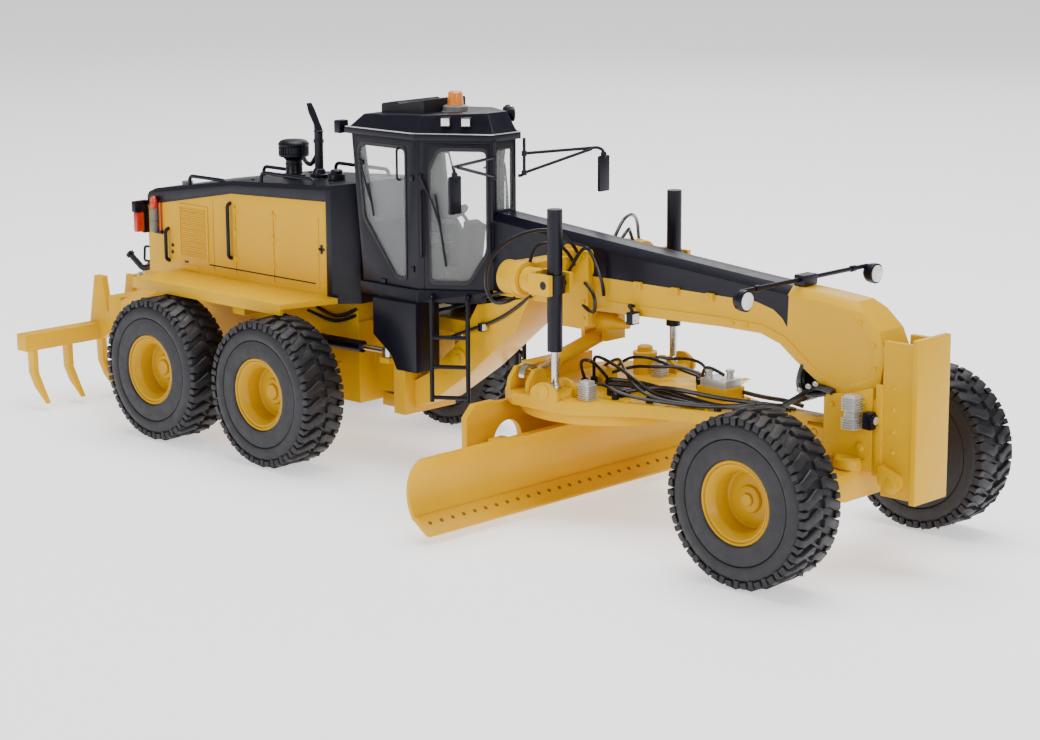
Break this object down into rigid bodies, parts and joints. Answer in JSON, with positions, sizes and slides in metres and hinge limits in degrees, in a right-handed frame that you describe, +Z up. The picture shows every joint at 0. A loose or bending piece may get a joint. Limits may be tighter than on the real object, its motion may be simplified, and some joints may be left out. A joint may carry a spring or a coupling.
{
  "type": "scale model motor grader",
  "caption": "Die-cast scale model of an articulated motor grader with a turning blade under its frame, leaning steered front wheels, a cab and a rear ripper.",
  "frame": {"origin": "on the floor under the middle of the model's bounding box", "axes": "+X forward, towards the push plate; +Y to the model's left; +Z up"},
  "size_m": [0.234, 0.0974, 0.0796],
  "materials": {
    "tyre": "matt",
    "yellow": "gloss",
    "black": "satin",
    "dark_plastic": "matt",
    "window": "clear",
    "bright": "bright",
    "lamp": "gloss"
  },
  "bodies": {
    "rear_unit": {"rear_chassis": "yellow", "tandem_cases": "yellow", "engine_housing": "yellow", "hood": "black", "walkways": "yellow", "stacks": "black", "hood_rails": "black", "rear_lights": "lamp"},
    "front_unit": {"front_frame": "yellow", "front_axle": "yellow", "push_block": "yellow", "lift_saddle": "yellow", "cab_frame": "black", "cab_doors": "black", "cab_glass": "window", "cab_roof": "black", "cab_interior": "dark_plastic", "cab_platform": "black", "ladders": "black", "mirrors": "black", "roof_gear": "lamp", "light_bar": "black"},
    "tie": {"tie_rod": "yellow"},
    "drawbar_cross": {"drawbar_link": "yellow"},
    "drawbar_unit": {"drawbar": "yellow"},
    "circle_unit": {"circle": "yellow"},
    "bracket_unit": {"blade_bracket": "yellow"},
    "blade_unit": {"blade": "yellow"},
    "shift_joint": {"centreshift_ball": "bright"},
    "shift_barrel": {"centreshift_barrel": "yellow"},
    "shift_rod": {"centreshift_rod": "bright"},
    "ripper_unit": {"ripper": "yellow"},
    "ripper_tube": {"ripper_barrel": "black"},
    "ripper_stem": {"ripper_rod": "bright"},
    "wheel_front_left": {"tyre_front_left": "tyre", "rim_front_left": "yellow"},
    "wheel_front_right": {"tyre_front_right": "tyre", "rim_front_right": "yellow"},
    "wheel_mid_left": {"tyre_mid_left": "tyre", "rim_mid_left": "yellow"},
    "wheel_mid_right": {"tyre_mid_right": "tyre", "rim_mid_right": "yellow"},
    "wheel_rear_left": {"tyre_rear_left": "tyre", "rim_rear_left": "yellow"},
    "wheel_rear_right": {"tyre_rear_right": "tyre", "rim_rear_right": "yellow"},
    "carrier_left": {"lean_carrier_left": "yellow"},
    "steering_left": {"knuckle_left": "yellow"},
    "lift_joint_left": {"lift_yoke_left": "yellow"},
    "lift_tube_left": {"lift_barrel_left": "black"},
    "lift_stem_left": {"lift_rod_left": "bright"},
    "articulation_tube_left": {"articulation_barrel_left": "black"},
    "articulation_stem_left": {"articulation_rod_left": "bright"},
    "carrier_right": {"lean_carrier_right": "yellow"},
    "steering_right": {"knuckle_right": "yellow"},
    "lift_joint_right": {"lift_yoke_right": "yellow"},
    "lift_tube_right": {"lift_barrel_right": "black"},
    "lift_stem_right": {"lift_rod_right": "bright"},
    "articulation_tube_right": {"articulation_barrel_right": "black"},
    "articulation_stem_right": {"articulation_rod_right": "bright"}
  },
  "joints": [
    {"name": "wheel_front_left_spin", "type": "hinge", "parent": "steering_left", "child": "wheel_front_left", "pos_m": [0.0978, 0.02705, 0.0161], "axis": [0, 1, 0], "continuous": true},
    {"name": "wheel_front_right_spin", "type": "hinge", "parent": "steering_right", "child": "wheel_front_right", "pos_m": [0.0978, -0.02705, 0.0161], "axis": [0, 1, 0], "continuous": true},
    {"name": "wheel_mid_left_spin", "type": "hinge", "parent": "rear_unit", "child": "wheel_mid_left", "pos_m": [-0.0311, 0.02705, 0.0161], "axis": [0, 1, 0], "continuous": true},
    {"name": "wheel_mid_right_spin", "type": "hinge", "parent": "rear_unit", "child": "wheel_mid_right", "pos_m": [-0.0311, -0.02705, 0.0161], "axis": [0, 1, 0], "continuous": true},
    {"name": "wheel_rear_left_spin", "type": "hinge", "parent": "rear_unit", "child": "wheel_rear_left", "pos_m": [-0.0679, 0.02705, 0.0161], "axis": [0, 1, 0], "continuous": true},
    {"name": "wheel_rear_right_spin", "type": "hinge", "parent": "rear_unit", "child": "wheel_rear_right", "pos_m": [-0.0679, -0.02705, 0.0161], "axis": [0, 1, 0], "continuous": true},
    {"name": "articulation", "type": "hinge", "parent": "rear_unit", "child": "front_unit", "pos_m": [-0.0202, 0, 0.021], "axis": [0, 0, 1], "range_deg": [-20, 20]},
    {"name": "lean_left", "type": "hinge", "parent": "front_unit", "child": "carrier_left", "pos_m": [0.0978, 0.0156, 0.0155], "axis": [-1, 0, 0], "range_deg": [-15, 15]},
    {"name": "steer_left", "type": "hinge", "parent": "carrier_left", "child": "steering_left", "pos_m": [0.0978, 0.0196, 0.0161], "axis": [0, 0, 1], "range_deg": [-38, 38]},
    {"name": "lean_right", "type": "hinge", "parent": "front_unit", "child": "carrier_right", "pos_m": [0.0978, -0.0156, 0.0155], "axis": [-1, 0, 0], "range_deg": [-15, 15]},
    {"name": "steer_right", "type": "hinge", "parent": "carrier_right", "child": "steering_right", "pos_m": [0.0978, -0.0196, 0.0161], "axis": [0, 0, 1], "range_deg": [-38, 38]},
    {"name": "tie_rod_slide", "type": "slide", "parent": "front_unit", "child": "tie", "axis": [0, 1, 0], "range_m": [-0.0032, 0.0032]},
    {"name": "articulation_barrel_left", "type": "hinge", "parent": "rear_unit", "child": "articulation_tube_left", "pos_m": [-0.0382, 0.0115, 0.0245], "axis": [0, 0, 1], "range_deg": [-8, 8]},
    {"name": "articulation_rod_left", "type": "slide", "parent": "articulation_tube_left", "child": "articulation_stem_left", "axis": [0.9985, -0.0541, 0], "range_m": [-0.0045, 0.0045]},
    {"name": "articulation_barrel_right", "type": "hinge", "parent": "rear_unit", "child": "articulation_tube_right", "pos_m": [-0.0382, -0.0115, 0.0245], "axis": [0, 0, 1], "range_deg": [-8, 8]},
    {"name": "articulation_rod_right", "type": "slide", "parent": "articulation_tube_right", "child": "articulation_stem_right", "axis": [0.9985, 0.0541, 0], "range_m": [-0.0045, 0.0045]},
    {"name": "drawbar_lift", "type": "hinge", "parent": "front_unit", "child": "drawbar_cross", "pos_m": [0.0928, 0, 0.023], "axis": [0, 1, 0], "range_deg": [-1.4, 5.4]},
    {"name": "drawbar_swing", "type": "hinge", "parent": "drawbar_cross", "child": "drawbar_unit", "pos_m": [0.0928, 0, 0.023], "axis": [0, 0, 1], "range_deg": [-6, 6]},
    {"name": "circle_turn", "type": "hinge", "parent": "drawbar_unit", "child": "circle_unit", "pos_m": [0.0398, 0, 0.0204], "axis": [0, 0, -1], "range_deg": [-45, 45]},
    {"name": "blade_tip", "type": "hinge", "parent": "circle_unit", "child": "bracket_unit", "pos_m": [0.0295, 0, 0.0039], "axis": [0, 1, 0], "range_deg": [-4, 18]},
    {"name": "blade_sideshift", "type": "slide", "parent": "bracket_unit", "child": "blade_unit", "axis": [0, 1, 0], "range_m": [-0.01, 0.01]},
    {"name": "lift_yoke_left", "type": "hinge", "parent": "front_unit", "child": "lift_joint_left", "pos_m": [0.0358, 0.0177, 0.0467], "axis": [1, 0, 0], "range_deg": [-17, 17]},
    {"name": "lift_barrel_left", "type": "hinge", "parent": "lift_joint_left", "child": "lift_tube_left", "pos_m": [0.041, 0.0177, 0.0467], "axis": [0, 1, 0], "range_deg": [-8, 8]},
    {"name": "lift_rod_left", "type": "slide", "parent": "lift_tube_left", "child": "lift_stem_left", "axis": [0, 0, 1], "range_m": [-0.0025, 0.0065]},
    {"name": "lift_yoke_right", "type": "hinge", "parent": "front_unit", "child": "lift_joint_right", "pos_m": [0.0358, -0.0177, 0.0467], "axis": [1, 0, 0], "range_deg": [-17, 17]},
    {"name": "lift_barrel_right", "type": "hinge", "parent": "lift_joint_right", "child": "lift_tube_right", "pos_m": [0.041, -0.0177, 0.0467], "axis": [0, 1, 0], "range_deg": [-8, 8]},
    {"name": "lift_rod_right", "type": "slide", "parent": "lift_tube_right", "child": "lift_stem_right", "axis": [0, 0, 1], "range_m": [-0.0025, 0.0065]},
    {"name": "centreshift_ball", "type": "hinge", "parent": "front_unit", "child": "shift_joint", "pos_m": [0.0316, 0.0084, 0.0325], "axis": [1, 0, 0], "range_deg": [-22, 22]},
    {"name": "centreshift_barrel", "type": "hinge", "parent": "shift_joint", "child": "shift_barrel", "pos_m": [0.0316, 0.0084, 0.0325], "axis": [-0.6961, -0.1729, 0.6968], "range_deg": [-8, 8]},
    {"name": "centreshift_rod", "type": "slide", "parent": "shift_barrel", "child": "shift_rod", "axis": [0, -0.9739, -0.227], "range_m": [-0.0068, 0.0068]},
    {"name": "ripper_lift", "type": "hinge", "parent": "rear_unit", "child": "ripper_unit", "pos_m": [-0.1077, 0, 0.019], "axis": [0, 1, 0], "range_deg": [0, 22]},
    {"name": "ripper_barrel", "type": "hinge", "parent": "rear_unit", "child": "ripper_tube", "pos_m": [-0.1017, 0, 0.0346], "axis": [0, 1, 0], "range_deg": [-8, 2]},
    {"name": "ripper_rod", "type": "slide", "parent": "ripper_tube", "child": "ripper_stem", "axis": [-0.8343, 0, -0.5513], "range_m": [-0.0045, 0.0005]}
  ],
  "couplings": [
    {"joint": "lean_left", "follows": "lean_right", "ratio": 1},
    {"joint": "steer_left", "follows": "steer_right", "ratio": 1},
    {"joint": "tie_rod_slide", "follows": "steer_right", "m_per_rad": -0.00446},
    {"joint": "articulation_barrel_left", "follows": "articulation", "ratio": 0.21775},
    {"joint": "articulation_rod_left", "follows": "articulation", "m_per_rad": -0.01041},
    {"joint": "articulation_barrel_right", "follows": "articulation", "ratio": 0.21775},
    {"joint": "articulation_rod_right", "follows": "articulation", "m_per_rad": 0.01041},
    {"joint": "lift_yoke_left", "follows": "drawbar_swing", "ratio": -2.7997},
    {"joint": "lift_barrel_left", "follows": "drawbar_lift", "ratio": -0.1561},
    {"joint": "lift_rod_left", "follows": "drawbar_lift", "m_per_rad": 0.0518},
    {"joint": "lift_yoke_right", "follows": "drawbar_swing", "ratio": -2.7997},
    {"joint": "lift_barrel_right", "follows": "drawbar_lift", "ratio": -0.1561},
    {"joint": "lift_rod_right", "follows": "drawbar_lift", "m_per_rad": 0.0518},
    {"joint": "centreshift_ball", "follows": "drawbar_lift", "ratio": -2.538},
    {"joint": "centreshift_barrel", "follows": "drawbar_swing", "ratio": 0.88367},
    {"joint": "centreshift_rod", "follows": "drawbar_swing", "m_per_rad": 0.05945},
    {"joint": "ripper_barrel", "follows": "ripper_lift", "ratio": -0.16429},
    {"joint": "ripper_rod", "follows": "ripper_lift", "m_per_rad": -0.00945}
  ]
}
